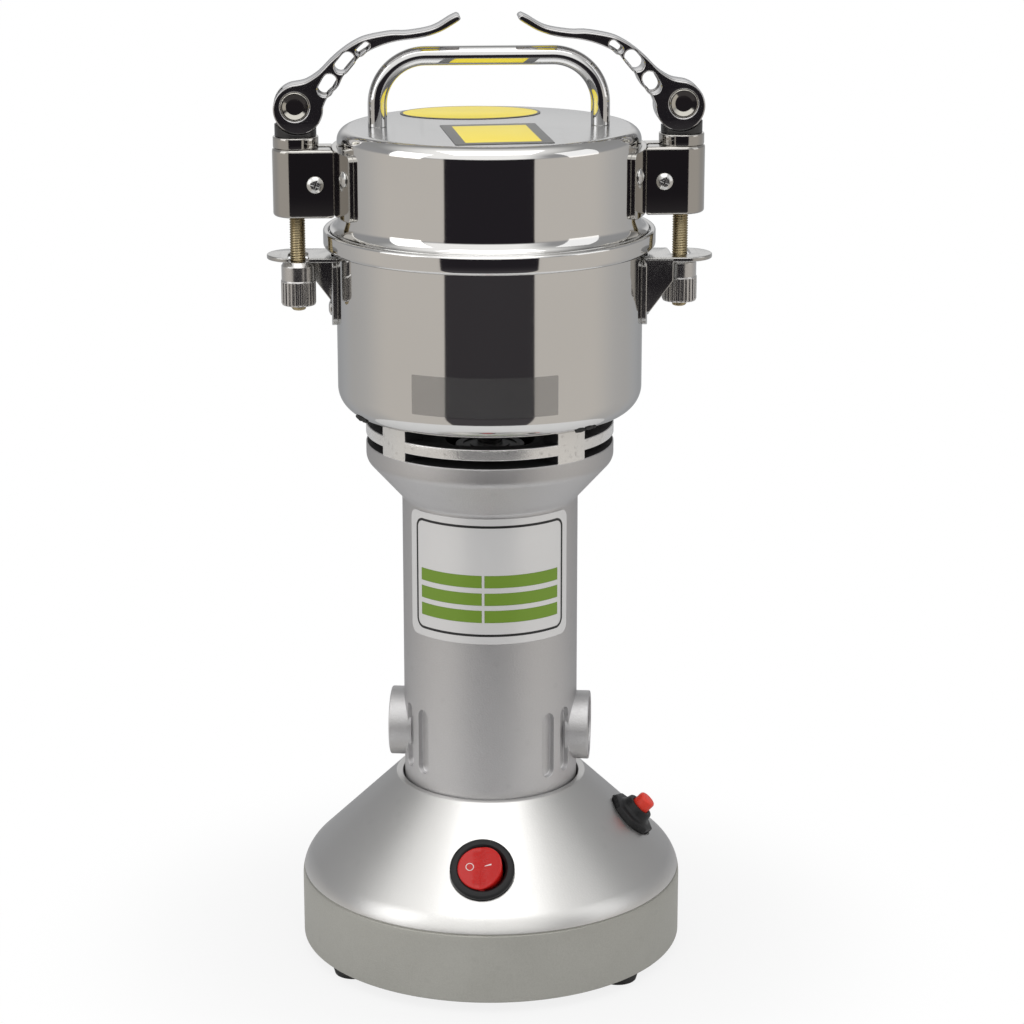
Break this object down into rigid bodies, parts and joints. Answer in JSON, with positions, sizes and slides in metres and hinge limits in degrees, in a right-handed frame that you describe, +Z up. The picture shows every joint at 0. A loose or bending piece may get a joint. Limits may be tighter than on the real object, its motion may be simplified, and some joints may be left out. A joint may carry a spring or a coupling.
{
  "type": "electric grain mill",
  "caption": "Upright electric grain mill with a round cone-shaped base, a ribbed-slot motor housing, a steel grinding bowl and a lid held by two cam levers.",
  "frame": {"origin": "on the floor under the middle of the base", "axes": "+Z up, the switch and rating plate face -Y, the two lid clamps lie along X"},
  "size_m": [0.14, 0.125, 0.3067],
  "materials": {
    "cast_aluminium_base": "satin",
    "bottom_cover": "matt",
    "black_rubber": "matt",
    "zinc_screws": "bright",
    "black_gloss_plastic": "glossy",
    "cast_aluminium_housing": "satin",
    "plain_plate_foil": "satin",
    "brown_moulding": "matt",
    "carbon": "matt",
    "spring_brass": "bright",
    "black_cap_plastic": "matt",
    "laminated_steel": "satin",
    "enamelled_copper": "glossy",
    "bearing_steel": "bright",
    "polished_stainless_steel": "mirror polished",
    "seal_plastic": "matt",
    "stamped_stainless_steel": "satin",
    "clear_film": "clear",
    "red_rocker": "glossy, translucent",
    "red_button": "satin",
    "commutator_copper": "bright",
    "dark_fan_plastic": "matt",
    "blade_steel": "ground",
    "silicone": "matt",
    "polished_rod": "mirror polished",
    "polished_clamp_steel": "polished",
    "black_cam_pad": "satin",
    "yellow_foil": "satin",
    "yellow_zinc_thread": "satin",
    "dark_lever_steel": "satin with bright edges",
    "nickel_plated_nuts": "knurled"
  },
  "bodies": {
    "body": {"base_shell": "cast_aluminium_base", "base_cover": "bottom_cover", "rubber_feet": "black_rubber", "cover_screws": "zinc_screws", "cord_bush": "black_rubber", "switch_housing": "black_gloss_plastic", "breaker_body": "black_gloss_plastic", "breaker_nut": "black_gloss_plastic", "motor_housing": "cast_aluminium_housing", "housing_screws": "zinc_screws", "rating_plate": "plain_plate_foil", "brush_holders": "brown_moulding", "carbon_brushes": "carbon", "brush_springs": "spring_brass", "brush_caps": "black_cap_plastic", "stator_core": "laminated_steel", "field_coils": "enamelled_copper", "stator_screws": "zinc_screws", "bearing_bridge": "cast_aluminium_housing", "lower_bearing": "bearing_steel", "upper_bearing": "bearing_steel", "grinding_bowl": "polished_stainless_steel", "bowl_screws": "zinc_screws", "shaft_seal": "seal_plastic", "tab_left": "stamped_stainless_steel", "tab_right": "stamped_stainless_steel", "tab_rivets": "stamped_stainless_steel", "bowl_film": "clear_film"},
    "rocker": {"switch_rocker": "red_rocker"},
    "reset": {"reset_button": "red_button"},
    "rotor": {"motor_shaft": "bearing_steel", "armature_core": "laminated_steel", "armature_windings": "enamelled_copper", "commutator": "commutator_copper", "cooling_fan": "dark_fan_plastic", "blade_spacers": "blade_steel", "lower_blade": "blade_steel", "upper_blade": "blade_steel", "blade_nut": "blade_steel"},
    "lid": {"lid_shell": "polished_stainless_steel", "lid_seal": "silicone", "lid_handle": "polished_rod", "handle_screws": "zinc_screws", "lid_brackets": "stamped_stainless_steel", "bracket_rivets": "stamped_stainless_steel", "clamp_block_left": "polished_clamp_steel", "clamp_block_right": "polished_clamp_steel", "block_screws": "zinc_screws", "cam_collars": "polished_clamp_steel", "cam_cradles": "black_cam_pad", "lid_stickers": "yellow_foil"},
    "rod_left": {"clamp_rod_left": "yellow_zinc_thread", "barrel_pin_left": "polished_clamp_steel"},
    "rod_right": {"clamp_rod_right": "yellow_zinc_thread", "barrel_pin_right": "polished_clamp_steel"},
    "lever_left": {"lever_left": "dark_lever_steel"},
    "lever_right": {"lever_right": "dark_lever_steel"},
    "nut_left": {"nut_left": "nickel_plated_nuts"},
    "nut_right": {"nut_right": "nickel_plated_nuts"}
  },
  "joints": [
    {"name": "rocker_tilt", "type": "hinge", "parent": "body", "child": "rocker", "pos_m": [-0.00499, -0.04749, 0.04228], "axis": [0.0752, 0.7154, 0.6947], "range_deg": [0, 24]},
    {"name": "reset_press", "type": "slide", "parent": "body", "child": "reset", "axis": [-0.6879, 0.0967, -0.7193], "range_m": [0, 0.002], "stiffness_N_per_m": 600, "springref_m": -0.001},
    {"name": "rotor_spin", "type": "hinge", "parent": "body", "child": "rotor", "pos_m": [0, 0, 0.05097], "axis": [0, 0, 1], "continuous": true},
    {"name": "lid_turn", "type": "hinge", "parent": "body", "child": "lid", "pos_m": [0, 0, 0.23931], "axis": [0, 0, 1], "range_deg": [0, 14]},
    {"name": "rod_right_drop", "type": "slide", "parent": "lid", "child": "rod_right", "axis": [0, 0, -1], "range_m": [0, 0.0021]},
    {"name": "lever_right_swing", "type": "hinge", "parent": "rod_right", "child": "lever_right", "pos_m": [0.0602, 0, 0.279], "axis": [0, 1, 0], "range_deg": [0, 120]},
    {"name": "nut_right_turn", "type": "hinge", "parent": "rod_right", "child": "nut_right", "pos_m": [0.0602, 0, 0.22], "axis": [0, 0, 1], "range_deg": [0, 720]},
    {"name": "rod_left_drop", "type": "slide", "parent": "lid", "child": "rod_left", "axis": [0, 0, -1], "range_m": [0, 0.0021]},
    {"name": "lever_left_swing", "type": "hinge", "parent": "rod_left", "child": "lever_left", "pos_m": [-0.0602, 0, 0.279], "axis": [0, -1, 0], "range_deg": [0, 120]},
    {"name": "nut_left_turn", "type": "hinge", "parent": "rod_left", "child": "nut_left", "pos_m": [-0.0602, 0, 0.22], "axis": [0, 0, 1], "range_deg": [0, 720]}
  ],
  "couplings": [
    {"joint": "rod_right_drop", "follows": "lever_right_swing", "m_per_rad": 0.00091},
    {"joint": "rod_left_drop", "follows": "lever_left_swing", "m_per_rad": 0.00091}
  ]
}
